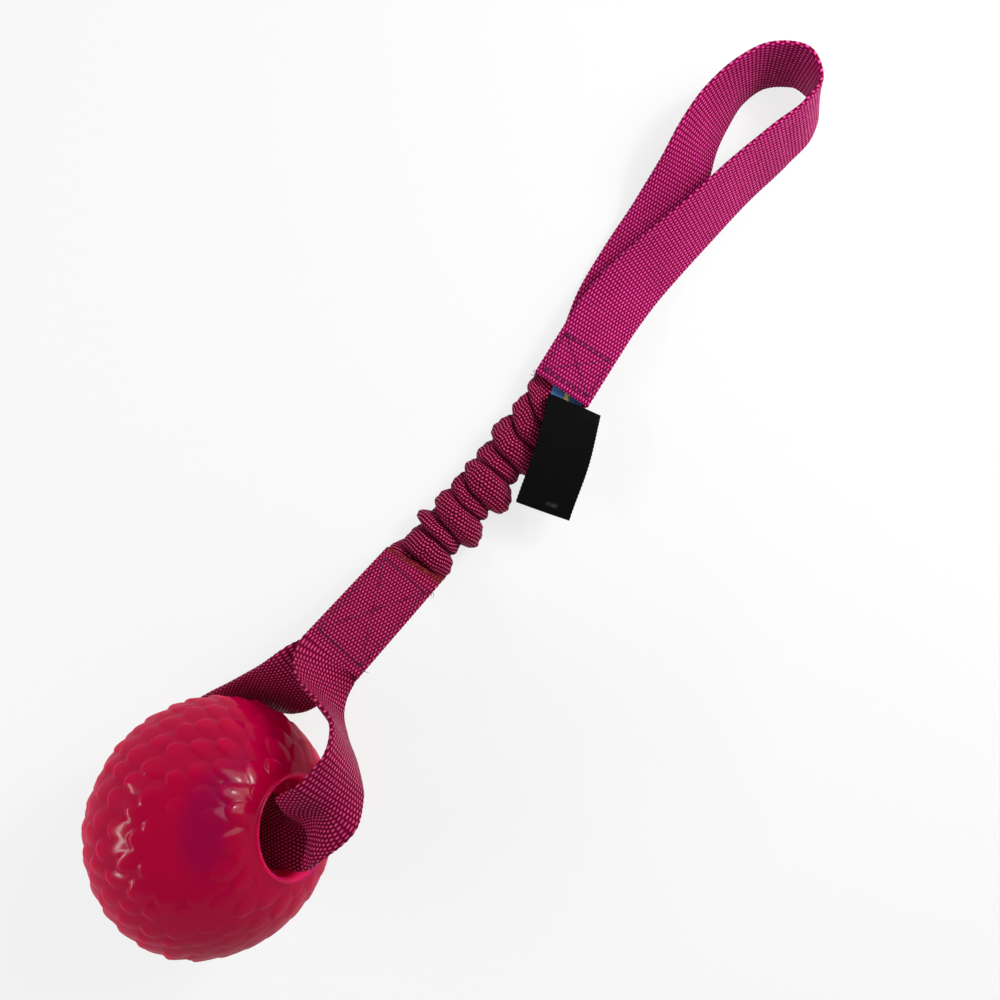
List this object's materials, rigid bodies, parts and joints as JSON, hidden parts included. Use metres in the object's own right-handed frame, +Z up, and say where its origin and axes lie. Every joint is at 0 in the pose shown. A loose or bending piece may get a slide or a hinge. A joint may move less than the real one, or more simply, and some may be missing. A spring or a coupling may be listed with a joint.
{
  "type": "bungee tug toy",
  "caption": "Tug toy: a hollow rubber ball threaded on a webbing loop, sewn to a gathered elastic sleeve that ends in a webbing hand loop with a folded label.",
  "frame": {"origin": "centre of the whole toy's bounding box, at the height of the floor it lies on", "axes": "+Y along the bungee from the ball towards the hand loop, +Z up from the floor, +X to the right of the bungee seen from above"},
  "size_m": [0.0876, 0.402, 0.0882],
  "materials": {
    "rubber": "glossy, slightly see-through",
    "webbing": "woven, with a soft sheen",
    "sleeve": "woven, with a soft sheen",
    "elastic": "matt",
    "thread": "satin",
    "dark_label": "matt",
    "blue_label": "matt"
  },
  "bodies": {
    "ball_loop": {"ball_loop_webbing": "webbing", "lower_seam_top_thread": "thread", "lower_seam_bottom_thread": "thread", "bungee_sleeve": "sleeve", "elastic_core": "elastic"},
    "ball": {"ball": "rubber"},
    "bungee_end": {"upper_seam_top_thread": "thread", "upper_seam_bottom_thread": "thread"},
    "handle": {"handle_webbing": "webbing"},
    "label": {"dark_label": "dark_label", "blue_label": "blue_label"}
  },
  "joints": [
    {"name": "ball_spin", "type": "hinge", "parent": "ball_loop", "child": "ball", "pos_m": [0, -0.15751, 0.0441], "axis": [0.579, 0.6498, 0.4924], "continuous": true},
    {"name": "bungee_stretch", "type": "slide", "parent": "ball_loop", "child": "bungee_end", "axis": [0, 1, 0], "range_m": [0, 0.07], "stiffness_N_per_m": 150, "deforming": ["bungee_sleeve", "elastic_core"]},
    {"name": "handle_swing", "type": "hinge", "parent": "bungee_end", "child": "handle", "pos_m": [-0.00866, 0.06647, 0.0052], "axis": [0.9903, 0.1392, 0], "range_deg": [0, 150], "deforming": ["handle_webbing"]},
    {"name": "label_flap", "type": "hinge", "parent": "bungee_end", "child": "label", "pos_m": [0.00293, 0.04156, 0.0097], "axis": [-0.9139, -0.3879, 0.1196], "range_deg": [0, 90], "deforming": ["dark_label", "blue_label"]}
  ]
}
